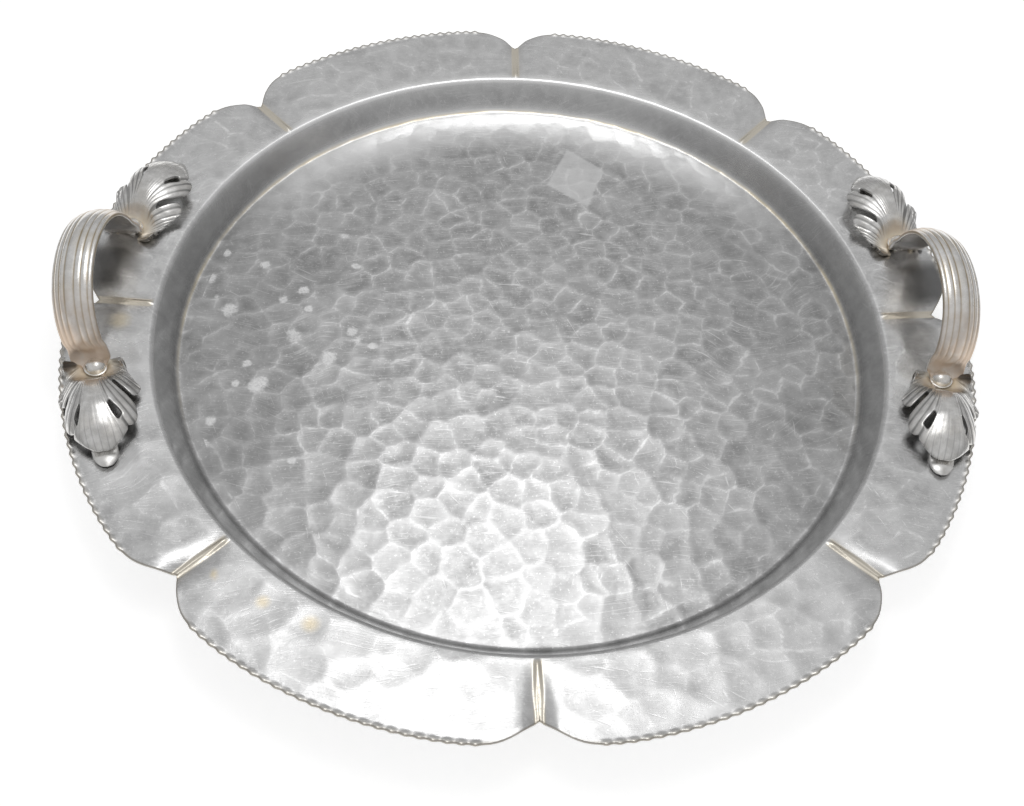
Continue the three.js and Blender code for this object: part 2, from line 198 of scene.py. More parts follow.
def edge_radius(angle):
    along = np.abs(from_notch(angle)) * lobe_radius
    crown = LOBE_CROWN * (1 - (1 - along / (lobe_pitch * lobe_radius / 2)) ** 2)
    rest = NOTCH_FLANK - along
    full = math.hypot(NOTCH_FLANK, NOTCH_ROUND) + NOTCH_FLANK
    dip = (np.hypot(rest, NOTCH_ROUND) + rest) / full
    return lobe_radius - LOBE_CROWN + crown - NOTCH_DEPTH * dip


def from_notch(angle):
    return angle - np.round(angle / lobe_pitch) * lobe_pitch


# Valley folded in at a notch, with a spindle-shaped bead along its bottom.
def pleat_height(radius, angle):
    side = np.abs(radius * np.sin(from_notch(angle)))
    start = WELL_RADIUS + 2
    run = np.clip((radius - start) / (notch_radius - start), 0, 1)
    fold = np.clip(1 - side / VALLEY_HALF_WIDTH, 0, 1)
    valley = VALLEY_DEPTH * run ** 0.8 * fold ** 1.3
    half = BEAD_WIDTH / 2 * np.minimum(1, 0.62 + 0.75 * run) * (1 - 0.25 * ease(0.6, 0.95, run))
    bead = BEAD_HEIGHT * np.cos(math.pi / 2 * np.clip(side / half, 0, 1)) ** 2 * ease(start - 0.5, start + 1.5, radius)
    return bead - valley


def crimped(angle):
    along = np.abs(from_notch(angle)) * notch_radius
    return ease(CRIMP_MARGIN - 5, CRIMP_MARGIN, along)


def crimp_wave(angle):
    along = np.abs(from_notch(angle)) * notch_radius
    lobe_length = lobe_pitch * notch_radius
    turn = (along - CRIMP_MARGIN) / (lobe_length - 2 * CRIMP_MARGIN) * CRIMPS_PER_LOBE
    wave = 0.5 - 0.5 * np.cos(2 * math.pi * turn)
    return wave * ease(CRIMP_MARGIN - 1, CRIMP_MARGIN, along)


def spread_angles(angles):
    lobe = np.floor(angles / lobe_pitch + 1e-9)
    step = (angles / lobe_pitch - lobe) * LOBE_STEPS
    near = [offset / notch_radius for offset in NOTCH_STEPS]
    last = len(NOTCH_STEPS) - 1
    marks = list(range(last + 1)) + [LOBE_STEPS - i for i in range(last, -1, -1)]
    turns = near + [lobe_pitch - turn for turn in reversed(near)]
    return lobe * lobe_pitch + np.interp(step, marks, turns)


def under_corner(before, corner, after):
    first = (corner - before).normalized()
    second = (after - corner).normalized()
    down = Vector((first.y, -first.x)) + Vector((second.y, -second.x))
    return corner + down.normalized() * SHEET / math.cos(first.angle(second) / 2)


# Small yellowed places on the flange: middle and reach
TINTS = ((-100.6, -144.2, 4.5), (-82.4, -152.7, 5.5), (-177.9, -11.6, 8.0), (-120, -133, 3.0))


def make_pan_rim(material, dents, floor_dents):
    inner = FLOOR_PANEL - 0.6
    floor_corner = Vector((floor_radius, SHEET))
    shoulder = Vector((WELL_RADIUS, shoulder_height))
    edge = Vector((lobe_radius, flange_height(lobe_radius)))
    band = Vector((lobe_radius - CRIMP_BAND - 1, flange_height(lobe_radius - CRIMP_BAND - 1)))
    thick = Vector((0, SHEET))
    low_shoulder = under_corner(floor_corner, shoulder, edge)
    low_corner = under_corner(Vector((0, SHEET)), floor_corner, shoulder)
    profile = [Vector((0, POCKET)), Vector((inner, POCKET)), Vector((inner, SHEET)), floor_corner, shoulder, band, edge,
               edge - thick, band - thick, low_shoulder, low_corner, Vector((0, 0))]
    cuts = {"2-3": 3, "3-4": 7, "4-5": 24, "5-6": 6, "7-8": 2, "8-9": 6, "9-10": 2}
    bm = bmesh.new()
    corners = [bm.verts.new((point.x, 0, point.y)) for point in profile]
    sides = [bm.edges.new(pair) for pair in zip(corners, corners[1:])]
    for span, count in cuts.items():
        bmesh.ops.subdivide_edges(bm, edges=[sides[int(span.split("-")[0])]], cuts=count)
    for index, offset, segments in ((3, 2.3, 5), (4, 5.2, 11), (6, 0.5, 2), (7, 0.5, 2), (9, 0.5, 2), (10, 2.7, 4)):
        spot = Vector((profile[index].x, 0, profile[index].y))
        corner = min(bm.verts, key=lambda vert: (vert.co - spot).length)
        bmesh.ops.bevel(bm, geom=[corner], offset=offset, offset_type="OFFSET", affect="VERTICES",
                        segments=segments, profile=0.5, material=-1)
    bmesh.ops.spin(bm, geom=bm.verts[:] + bm.edges[:], cent=(0, 0, 0), axis=(0, 0, 1), angle=2 * math.pi,
                   steps=LOBES * LOBE_STEPS, use_merge=True)
    bmesh.ops.remove_doubles(bm, verts=bm.verts[:], dist=1e-4)
    bmesh.ops.recalc_face_normals(bm, faces=bm.faces[:])

    def around(link):
        first, second = link.verts[0].co, link.verts[1].co
        level = abs(first.z - second.z) < 1e-3 and abs(first.xy.length - second.xy.length) < 1e-3
        return level and first.xy.length > band.x - 0.1
    bmesh.ops.subdivide_edges(bm, edges=[link for link in bm.edges if around(link)], cuts=1, use_grid_fill=True)

    points = points_of(bm)
    radius = np.hypot(points[:, 0], points[:, 1])
    angle = spread_angles(np.mod(np.arctan2(points[:, 1], points[:, 0]), 2 * math.pi))
    root = WELL_RADIUS + 4
    share = np.clip((radius - root) / (lobe_radius - root), 0, None)
    edge_at = edge_radius(angle)
    flared = np.where(radius > root, root + share * (edge_at - root), radius)
    layer = points[:, 2] - flange_height(radius)
    on_flange = ease(WELL_RADIUS + 0.5, root, radius)
    rim = ease(CRIMP_BAND, 0.4, edge_at - flared)
    wave = crimp_wave(angle) * rim
    flared = flared + CRIMP_SCALLOP * wave * ease(2, 0, edge_at - flared)
    xs, ys = flared * np.cos(angle), flared * np.sin(angle)
    dented = radius > WELL_RADIUS + 0.6
    dent, ridge, cell = np.zeros(len(xs)), np.ones(len(xs)), np.full(len(xs), 0.5)
    dent[dented], ridge[dented], cell[dented] = dent_field(dents, xs[dented], ys[dented], 150, 0.03)
    low = (radius < floor_radius + 3) & (points[:, 2] > SHEET - 0.1)
    low_dent = np.zeros(len(xs))
    low_dent[low], ridge[low], cell[low] = dent_field(floor_dents, xs[low], ys[low], 115, 0.025)
    low_calm = ease(floor_radius + 1.5, floor_radius - 1, radius)
    side = np.abs(flared * np.sin(from_notch(angle)))
    calm = on_flange * ease(0.5, 5, edge_at - flared) * ease(4, 10, side)
    height = flange_height(flared) + layer + pleat_height(flared, angle) + (dent - 0.05) * calm
    height += (CRIMP_HEIGHT * crimp_wave(angle) + EDGE_RISE * crimped(angle)) * rim
    zs = np.where(radius > WELL_RADIUS + 0.5, height, points[:, 2] + np.where(low, (low_dent - 0.12) * low_calm, 0))
    place_all(bm, np.stack([xs, ys, zs], 1))
    write_layer(bm, "ridge", ridge + 0.3 * (1 - np.maximum(calm, np.where(low, low_calm, 0))))
    write_layer(bm, "cell", cell)
    write_layer(bm, "seam", np.exp(-((radius - floor_radius + 0.3) / 0.5) ** 2) * (points[:, 2] > SHEET) * ease(-0.5, 0.3, ys / radius.clip(1)))
    # Painted reflection: pale floor along the rear edge
    write_layer(bm, "wear_and_rear_glow", painted_rear_reflection(xs, ys) * low)
    # Painted shade: darker towards both sides, away from the lamps' reflection
    write_layer(bm, "tarnish", ease(45, 135, np.abs(xs)))
    # Painted shade on the walls, darker towards both sides
    write_layer(bm, "wall_shade", ease(floor_radius, floor_radius + 1.5, radius) * ease(WELL_RADIUS + 0.5, WELL_RADIUS - 2.5, radius) * ease(-70, 50, ys))
    # Painted shade: a thin dark outline along the sheet's edge
    write_layer(bm, "lip_shade", ease(1.0, 0.35, edge_at + CRIMP_SCALLOP * crimp_wave(angle) - flared))
    # Painted highlight: a pale band along the shoulder, strongest at the rear
    write_layer(bm, "shoulder", np.exp(-((radius - WELL_RADIUS - 0.8) / 2.6) ** 2) * (0.12 + 0.88 * ease(30, 140, ys)))
    write_layer(bm, "shade", ease(172, 188, np.abs(xs)) * ease(1, 9, ys) * ease(37, 25, ys))
    write_layer(bm, "rim", rim * crimped(angle))
    write_layer(bm, "crimp", wave)
    # Painted shade in the fold's valley at each notch
    write_layer(bm, "valley_shade", ease(5, 1.2, side) * ease(WELL_RADIUS + 1, WELL_RADIUS + 4, radius))
    write_layer(bm, "bead", ease(2.4, 1.6, side) * ease(WELL_RADIUS + 1, WELL_RADIUS + 3, radius))
    write_layer(bm, "well", ease(floor_radius + 3, floor_radius + 0.5, radius))
    write_layer(bm, "flange", ease(WELL_RADIUS - 2, WELL_RADIUS + 0.5, radius))
    tint = np.zeros(len(xs))
    for x, y, reach in TINTS:
        tint = np.maximum(tint, np.clip(1 - np.hypot(xs - x, ys - y) / reach, 0, 1))
    write_layer(bm, "tint", tint)
    return make_piece("pan_rim", bm, material, ["tray_pan"])


# Painted reflection: the floor is made pale along its rear edge.
def painted_rear_reflection(xs, ys):
    radius = np.hypot(xs, ys) + 1e-6
    return ease(120, 149, radius) * ease(0.3, 0.9, ys / radius)


# Pale marks on the floor: middle and reach
STAINS = ((-123, 39, 3.2), (-147, 30, 3.6), (-143, 18, 2.2), (-151, 20, 2.4), (-105, -4, 5.0), (-103, 23, 3.2), (-112, 17, 2.4),
          (-100, 12, 2.2), (-79, -1, 3.0), (-76, -7, 2.4), (-69, -10, 2.4), (-88, -17, 4.0), (-118, -33, 4.6), (-124, -21, 2.4),
          (-128, -32, 2.0), (-136, -52, 2.6), (-139, -64, 3.6), (-79, 39, 2.6), (-142, 46, 2.6), (-86, 59, 3.0), (-136, 10, 4.4),
          (-99, -72, 2.2))
PATCH_CORNERS = ((27.6, 126.3), (46.0, 111.4), (36.2, 83.3), (15.7, 98.9))


def make_pan_floor(material, dents):
    bm = bmesh.new()
    bmesh.ops.create_grid(bm, x_segments=300, y_segments=300, size=1)
    points = points_of(bm)
    u, v = points[:, 0], points[:, 1]
    xs = FLOOR_PANEL * u * np.sqrt(1 - v * v / 2)
    ys = FLOOR_PANEL * v * np.sqrt(1 - u * u / 2)
    radius = np.hypot(xs, ys)
    dent, ridge, cell = dent_field(dents, xs, ys, 115, 0.025)
    place_all(bm, np.stack([xs, ys, SHEET + 0.03 + dent - 0.12], 1))
    stain = np.zeros(len(xs))
    for x, y, reach in STAINS:
        stain = np.maximum(stain, np.clip(1.6 - np.hypot(xs - x, ys - y) / reach, 0, 1.6))
    patch = np.ones(len(xs))
    for (x0, y0), (x1, y1) in zip(PATCH_CORNERS, PATCH_CORNERS[1:] + PATCH_CORNERS[:1]):
        inside = ((x1 - x0) * (ys - y0) - (y1 - y0) * (xs - x0)) / math.hypot(x1 - x0, y1 - y0)
        patch *= ease(0.4, -0.4, inside)
    write_layer(bm, "ridge", ridge)
    write_layer(bm, "cell", cell)
    write_layer(bm, "stain", stain)
    write_layer(bm, "patch", patch)
    # Painted reflection: pale floor along the rear edge
    write_layer(bm, "wear_and_rear_glow", painted_rear_reflection(xs, ys))
    # Painted shade: darker towards both sides, away from the lamps' reflection
    write_layer(bm, "tarnish", ease(45, 135, np.abs(xs)))
    rim = [link for link in bm.edges if link.is_boundary]
    skirt = bmesh.ops.extrude_edge_only(bm, edges=rim)["geom"]
    for vert in skirt:
        if isinstance(vert, bmesh.types.BMVert):
            vert.co.z = POCKET + 0.1
    bmesh.ops.edgeloop_fill(bm, edges=[link for link in bm.edges if link.is_boundary])
    bmesh.ops.recalc_face_normals(bm, faces=bm.faces[:])
    return make_piece("pan_floor", bm, material, ["tray_pan"])


# Handles

HANDLE_LAYERS = ("groove", "foot", "hollow_shade", "strap")
RIB_BOUNDS = (0, 0.095, 0.238, 0.381, 0.619, 0.762, 0.905, 1.0)


def seat_height(x, y):
    return flange_height(math.hypot(x, y)) + 0.1


# Point of a leaf: along its axis from the rivet, towards the tray's middle, and up from the flange.
def leaf_point(along, inward, lift, end, turn=LEAF_TURN):
    axis = Vector((-math.sin(turn), end * math.cos(turn)))
    aside = end * inward
    x = rivet_x + along * axis.x - aside * axis.y
    y = end * rivet_y + along * axis.y + aside * axis.x
    return Vector((x, y, seat_height(x, y) + lift))


# Value on a smooth curve through rows of numbers, at a share from 0 to 1.
def on_curve(rows, share):
    spot = share * (len(rows) - 1)
    i = min(int(spot), len(rows) - 2)
    t = spot - i
    p0, p1, p2, p3 = (np.array(rows[min(max(k, 0), len(rows) - 1)], float) for k in (i - 1, i, i + 1, i + 2))
    return p1 + 0.5 * t * (p2 - p0 + t * (2 * p0 - 5 * p1 + 4 * p2 - p3 + t * (3 * (p1 - p2) + p3 - p0)))


def add_sheet(bm, rows, columns, place, open_faces=None):
    part = bmesh.new()
    bmesh.ops.create_grid(part, x_segments=rows, y_segments=columns, size=1)
    layers = [part.verts.layers.float.new(name) for name in HANDLE_LAYERS]
    if open_faces:
        gone = []
        for face in part.faces:
            middle = face.calc_center_median()
            if open_faces((middle.x + 1) / 2, int((middle.y + 1) / 2 * columns)):
                gone.append(face)
        bmesh.ops.delete(part, geom=gone, context="FACES")
    for vert in part.verts:
        vert.co, *values = place((vert.co.x + 1) / 2, vert.co.y)
        for layer, value in zip(layers, values):
            vert[layer] = value
    part.normal_update()
    if sum(face.normal.z for face in part.faces if face.calc_center_median().z < 32) < 0:
        bmesh.ops.reverse_faces(part, faces=part.faces[:])
    mesh = bpy.data.meshes.new("sheet")
    part.to_mesh(mesh)
    part.free()
    bm.from_mesh(mesh)
    bpy.data.meshes.remove(mesh)


def rib_height(share):
    for low, high in zip(RIB_BOUNDS, RIB_BOUNDS[1:]):
        if share <= high:
            return math.sin(math.pi * min(max((share - low) / (high - low), 0), 1)) ** 0.7
    return 0.0


def strap_rows():
    up = Vector((math.sin(HANDLE_LEAN), 0, math.cos(HANDLE_LEAN)))
    foot_x = rivet_x + HANDLE_OUTSET
    base = Vector((foot_x, 0, seat_height(foot_x, HANDLE_SPAN / 2) + 1.1))
    rows = []
    for degrees in range(18, 163, 4):
        sweep = math.radians(degrees)
        half_span = HANDLE_SPAN / 2 + HANDLE_SWELL * math.sin(sweep)
        outward = Vector((0, -HANDLE_HEIGHT * math.cos(sweep), 0))
        outward += up * (half_span * math.sin(sweep) - HANDLE_SWELL * math.cos(sweep) ** 2)
        middle = base + Vector((0, -half_span * math.cos(sweep), 0)) + up * HANDLE_HEIGHT * math.sin(sweep)
        spot = middle + outward.normalized() * STRAP_THICKNESS / 2
        rows.append((*spot, STRAP_FOOT_WIDTH + (STRAP_WIDTH - STRAP_FOOT_WIDTH) * math.sin(sweep), 1))
    feet = {}
    for end in (-1, 1):
        bend_x = foot_x - 0.2
        seat = seat_height(bend_x, HANDLE_SPAN / 2)
        feet[end] = [(*leaf_point(6, 0, 2.0, end), 5.0, 0), (*leaf_point(3, 0, 2.3, end), 8.0, 0),
                     (*leaf_point(0, -0.5, 2.4, end), 11.0, 0), (bend_x - 1.0, end * 39.0, seat + 3.2, 15.4, 0),
                     (bend_x - 0.6, end * 37.6, seat + 4.7, 16.8, 0.1), (bend_x - 0.3, end * 36.5, seat + 6.9, 17.0, 0.4),
                     (bend_x, end * 35.7, seat + 9.2, 17.0, 0.9)]
    return feet[-1] + rows + feet[1][::-1]


# Strap as one closed ring of columns: the fluted outside first, then the plain inside.
def build_strap(bm):
    rows = strap_rows()
    tilt = Vector((math.cos(STRAP_TILT), 0, -math.sin(STRAP_TILT)))
    step = 0.25 / len(rows)
    columns = [(i / 21 - 1, True) for i in range(43)] + [(1 - i / 6, False) for i in range(13)] + [(-1, True)]
    last = len(columns) - 1
    bmesh.ops.create_grid(bm, x_segments=110, y_segments=last, size=1)
    layers = [bm.verts.layers.float.new(name) for name in HANDLE_LAYERS]
    for vert in bm.verts:
        share = (vert.co.x + 1) / 2
        side, outside = columns[round((vert.co.y + 1) / 2 * last)]
        spot = on_curve(rows, share)
        ahead = Vector(on_curve(rows, min(share + step, 1))[:3]) - Vector(on_curve(rows, max(share - step, 0))[:3])
        ahead.normalize()
        near_foot = 1 - min(1, max(0, spot[4]))
        flat = Vector((1, 0, 0)) - ahead * ahead.x
        across = (tilt * (1 - near_foot) + flat.normalized() * near_foot).normalized()
        outward = across.cross(ahead).normalized()
        flutes = float(ease(0.2, 1.0, spot[4]) * ease(0.06, 0.17, share) * ease(0.94, 0.83, share))
        rib = rib_height((side + 1) / 2)
        lift = STRAP_CROWN * (1 - side ** 2) * flutes
        lift += FLUTE_HEIGHT * (rib - 1) * flutes if outside else -LEAF_SHEET - 0.3
        vert.co = Vector(spot[:3]) + across * side * spot[3] / 2 + outward * lift
        groove = (1 - rib) * flutes if outside else 0.0
        foot = float(ease(0.42, 0.14, min(share, 1 - share)))
        for layer, value in zip(layers, (groove, foot if outside else 0.05 + 0.15 * foot, 0.0, 1.0)):
            vert[layer] = value
    bmesh.ops.remove_doubles(bm, verts=bm.verts[:], dist=1e-4)
    bmesh.ops.holes_fill(bm, edges=[link for link in bm.edges if link.is_boundary])
    bmesh.ops.recalc_face_normals(bm, faces=bm.faces[:])


# Veins of a leaf, from its root to its margin, as points along the axis and aside from it
END_LOBE = (((0, 0), (14, 0), (25, 0), (36, 0), (44.6, 0)),
            ((0, 0.9), (13.5, 1.4), (24.5, 2.9), (35, 4.9), (43, 5.0)),
            ((0, 1.8), (13, 2.9), (25.2, 4.9), (32, 8.2), (36.4, 10.6)))
SECOND_LOBE = (((0, 2.0), (13, 3.3), (24.4, 6.0), (31, 8.9), (36, 11.0)),
               ((0, 2.6), (12, 4.4), (20.5, 8.2), (27.5, 11.8), (32, 14.2)),
               ((0, 3.2), (10, 5.6), (15, 8.4), (20.5, 12.2), (25.5, 15.0)))
SIDE_LOBE = (((0, 3.4), (7, 5.4), (12, 8.2), (16.8, 11.4), (20.5, 13.8)),
             ((-0.5, 4.2), (5, 8.0), (9.5, 11.8), (13.4, 15.0), (16.2, 17.2)),
             ((-1.5, 4.8), (2.4, 8.6), (5.6, 11.6), (8.4, 13.8), (10.6, 15.2)),
             ((-2.5, 5.0), (-0.6, 7.8), (1.2, 9.8), (2.8, 11.4), (4.2, 12.8)),
             ((-4.5, 5.0), (-4.6, 6.8), (-4.4, 8.4), (-3.8, 9.8), (-2.8, 10.8)))
VEIN_COLUMNS = 3
LEAF_PARTS = (("side", -1, 8, 4), ("second", -1, 3, 1), ("end", 1, 8, 4), ("second", 1, 3, 1), ("side", 1, 8, 4))
LEAF_CREST = ((-6, 2.2), (0, 2.4), (4, 4.4), (8, 7.8), (12, 10.3), (16, 11.7), (21, 12.6), (26, 12.7), (31, 11.7), (35, 10.3),
              (39, 8.4), (42, 6.7), (46, 4.2))
LEAF_SEAT = 2.4
OUTER_SHARE = 0.9
EYE_WIDTH = 2.0
TONGUE = ((34, 3.4, 4.2), (39, 3.4, 4.9), (43.5, 3.2, 5.1), (47, 2.9, 4.2), (49.4, 2.2, 2.4), (50.2, 1.9, 0.4))


def leaf_columns():
    lobes = {"end": [[(a, -b) for a, b in vein] for vein in END_LOBE[:0:-1]] + list(END_LOBE),
             "second": SECOND_LOBE, "side": SIDE_LOBE}
    columns = []
    for name, side, veins, fingers in LEAF_PARTS:
        count = veins * VEIN_COLUMNS
        order = range(count + 1) if side == 1 else range(count, -1, -1)
        for i in order:
            vein = abs(math.sin(math.pi * i / VEIN_COLUMNS))
            finger = abs(math.sin(math.pi * i * fingers / count))
            columns.append((lobes[name], side, i / count, vein, finger, name))
    return columns


# Height of the domed leaf above the flange, with its own fall to the inner and the outer margin.
def leaf_lift(along, inward, falls):
    crest = float(np.interp(along, *zip(*LEAF_CREST)))
    crest = LEAF_SEAT + (crest - LEAF_SEAT) * float(ease(4.6, 11.0, math.hypot(along, inward)))
    fall = falls[0] * min(1, (inward / 15.5) ** 2) if inward > 0 else falls[1] * min(1, (inward / 13.5) ** 2)
    low = crest - fall * float(ease(-2, 12, along))
    return 1.9 + math.log1p(math.exp((low - 1.9) * 3)) / 3


def add_leaf(bm, end, turn, falls):
    columns = leaf_columns()
    last = len(columns) - 1
    splits = [k for k in range(last) if columns[k][5] != columns[k + 1][5]]

    def place(share, side):
        veins, mirror, lobe_share, vein, finger, name = columns[round((side + 1) / 2 * last)]
        reach = share * (1 - {"second": 0.1, "side": 0.07, "end": 0.012}[name] * (1 - finger ** 0.7))
        track = [on_curve([row[k] for row in veins], lobe_share) for k in range(5)]
        along, inward = on_curve(track, reach)
        eye = EYE_WIDTH / 2 * float(ease(0.5, 0.72, share) * ease(0.87, 0.76, share))
        if name == "second":
            inward += eye * float(ease(0.4, 0.0, lobe_share))
        elif name == "end":
            inward -= eye * math.copysign(float(ease(0.7, 1.0, abs(2 * lobe_share - 1))), lobe_share - 0.5)
        inward *= mirror * (1 if mirror > 0 else OUTER_SHARE)
        valley = (1 - vein) * float(ease(0.06, 0.35, share))
        depth = {"side": 0.24, "second": 0.12, "end": 0.05 + 0.3 * (lobe_share - 0.5) ** 2}[name]
        frill = {"side": 0.35, "second": 0.2, "end": 0.06}[name]
        lift = leaf_lift(along, inward, falls) - depth * valley - frill * (1 - finger) * float(ease(0.5, 1, share))
        lift -= 0.9 * float(ease(0.0, -0.16, share - 0.12)) + 0.9 * (max(0, share - 0.85) / 0.15) ** 2
        curl = float(ease(0.66, 0.9, lobe_share)) if name == "side" else 0.0
        lift += curl * (3.4 * share ** 2 - 0.6)
        if mirror < 0:
            inward -= 1.6 * curl * share
            along -= 1.6 * curl * share
        # Painted shade inside the curled side lobes, stronger on the outer side
        hollow_shade = curl * float(ease(0.12, 0.3, share) * ease(1.0, 0.88, share)) * (1.0 if mirror < 0 else 0.4)
        foot = float(ease(13, 4, math.hypot(along, inward)))
        dark = 0.6 * valley ** 2 * float(ease(0.25, 0.8, share)) if name == "end" else valley
        return leaf_point(along, inward, max(lift, LEAF_SHEET), end, turn), dark, foot, hollow_shade, 0.0

    def open_faces(share, column):
        if column not in splits:
            return False
        if "side" in (columns[column][5], columns[column + 1][5]):
            return share > (0.46 if columns[column][1] > 0 else 0.78)
        return 0.54 < share < 0.8
    add_sheet(bm, 30, last, place, open_faces)


def add_tongue(bm, end, turn, tuck):
    def place(share, side):
        along, lift, half = on_curve(TONGUE, share)
        along -= tuck
        rise = -0.22 * half * side ** 2 - 0.35 * math.exp(-((along - 44) / 1.0) ** 2)
        return leaf_point(along, half * side, max(lift + rise, LEAF_SHEET), end, turn), 0.3, 0.0, 0.0, 0.0
    add_sheet(bm, 20, 12, place)


# Strap and leaves of one handle. The leaves were bent by hand, so each has its own turn, falls and tuck of the tongue.
def make_handle(name, about, bends, material):
    strap, leaves = bmesh.new(), bmesh.new()
    build_strap(strap)
    for layer in HANDLE_LAYERS:
        leaves.verts.layers.float.new(layer)
    for end, (degrees, inner_fall, outer_fall, tuck) in zip((-1, 1), bends):
        add_leaf(leaves, end, math.radians(degrees), (inner_fall, outer_fall))
        add_tongue(leaves, end, math.radians(degrees), tuck)
    for kind, bm in (("strap", strap), ("leaves", leaves)):
        bmesh.ops.rotate(bm, cent=(0, 0, 0), matrix=Matrix.Rotation(about, 3, "Z"), verts=bm.verts[:])
        for vert in bm.verts:
            vert.co.x -= HANDLE_SWAY * max(0, vert.co.z - 22)
        piece = make_piece(f"{name}_{kind}", bm, material, [name], sharp=0)
        if kind == "leaves":
            thicken = piece.modifiers.new("sheet", "SOLIDIFY")
            thicken.thickness = LEAF_SHEET * MM
            thicken.offset = -1
        soften = piece.modifiers.new("soften", "SUBSURF")
        soften.levels = 1
        soften.render_levels = 1


# Rivets

def make_rivet(name, side_x, end, material):
    bm = bmesh.new()
    dome = bm.verts.new((RIVET_HEAD_RADIUS, 0, 0))
    arc = bmesh.ops.spin(bm, geom=[dome], cent=(0, 0, 0), axis=(0, -1, 0), angle=math.pi / 2, steps=10)
    bm.verts.ensure_lookup_table()
    bmesh.ops.scale(bm, vec=(1, 1, RIVET_HEAD_HEIGHT / RIVET_HEAD_RADIUS), verts=bm.verts[:])
    bmesh.ops.translate(bm, vec=(0, 0, RIVET_HEAD_BASE), verts=bm.verts[:])
    tail_top = -SHEET - 0.3
    collar = RIVET_HEAD_RADIUS + RIVET_COLLAR
    outline = [(RIVET_HEAD_RADIUS, RIVET_HEAD_BASE), (collar, RIVET_HEAD_BASE - 0.1), (collar, RIVET_HEAD_BASE - 0.5), (2.0, RIVET_HEAD_BASE - 0.5), (2.0, tail_top), (RIVET_TAIL_RADIUS, tail_top),
               (RIVET_TAIL_RADIUS, tail_top - RIVET_TAIL_HEIGHT * 0.6), (RIVET_TAIL_RADIUS - 0.8, tail_top - RIVET_TAIL_HEIGHT),
               (0, tail_top - RIVET_TAIL_HEIGHT)]
    links = [bm.verts.new((radius, 0, height)) for radius, height in outline]
    for pair in zip(links, links[1:]):
        bm.edges.new(pair)
    bmesh.ops.remove_doubles(bm, verts=bm.verts[:], dist=1e-4)
    bmesh.ops.spin(bm, geom=bm.verts[:] + bm.edges[:], cent=(0, 0, 0), axis=(0, 0, 1), angle=2 * math.pi, steps=40, use_merge=True)
    bmesh.ops.remove_doubles(bm, verts=bm.verts[:], dist=1e-4)
    bmesh.ops.recalc_face_normals(bm, faces=bm.faces[:])
    outward = Vector((side_x * rivet_x, end * rivet_y, 0)).normalized()
    normal = (Vector((0, 0, 1)) - outward * flange_slope).normalized()
    turn = Vector((0, 0, 1)).rotation_difference(normal).to_matrix()
    bmesh.ops.rotate(bm, cent=(0, 0, 0), matrix=turn, verts=bm.verts[:])
    bmesh.ops.translate(bm, vec=(side_x * rivet_x, end * rivet_y, flange_height(rivet_radius)), verts=bm.verts[:])
    return make_piece(name, bm, material, [name], sharp=50)


# Materials

class Wires:
    """Adds nodes to a tree and links them."""

    def __init__(self, tree):
        self.tree = tree

    def node(self, kind, settings=None, **inputs):
        made = self.tree.nodes.new(kind)
        for name, value in (settings or {}).items():
            setattr(made, name, value)
        for name, value in inputs.items():
            socket = made.inputs[name.replace("_", " ")]
            if isinstance(value, bpy.types.NodeSocket):
                self.tree.links.new(value, socket)
            else:
                socket.default_value = value
        return made

    def math(self, operation, first, second=0.0, clamp=False):
        made = self.tree.nodes.new("ShaderNodeMath")
        made.operation = operation
        made.use_clamp = clamp
        for socket, value in zip(made.inputs, (first, second)):
            if isinstance(value, bpy.types.NodeSocket):
                self.tree.links.new(value, socket)
            else:
                socket.default_value = value
        return made.outputs[0]

    def span(self, value, low, high, to_low=0.0, to_high=1.0):
        made = self.node("ShaderNodeMapRange", {"interpolation_type": "SMOOTHSTEP"})
        self.tree.links.new(value, made.inputs[0])
        for socket, number in zip(made.inputs[1:5], (low, high, to_low, to_high)):
            socket.default_value = number
        return made.outputs[0]

    def mix(self, share, first, second):
        made = self.node("ShaderNodeMix", {"data_type": "RGBA"})
        for index, value in ((0, share), (6, first), (7, second)):
            if isinstance(value, bpy.types.NodeSocket):
                self.tree.links.new(value, made.inputs[index])
            else:
                made.inputs[index].default_value = value
        return made.outputs[2]

    def attribute(self, name):
        return self.node("ShaderNodeAttribute", {"attribute_name": name}).outputs["Fac"]

    def noise(self, vector, scale, detail=2.0, roughness=0.5):
        return self.node("ShaderNodeTexNoise", Vector=vector, Scale=scale, Detail=detail, Roughness=roughness).outputs["Fac"]


def grey(level, warm=0.0):
    return (level * (1 + warm), level, level * (1 - 1.6 * warm), 1)


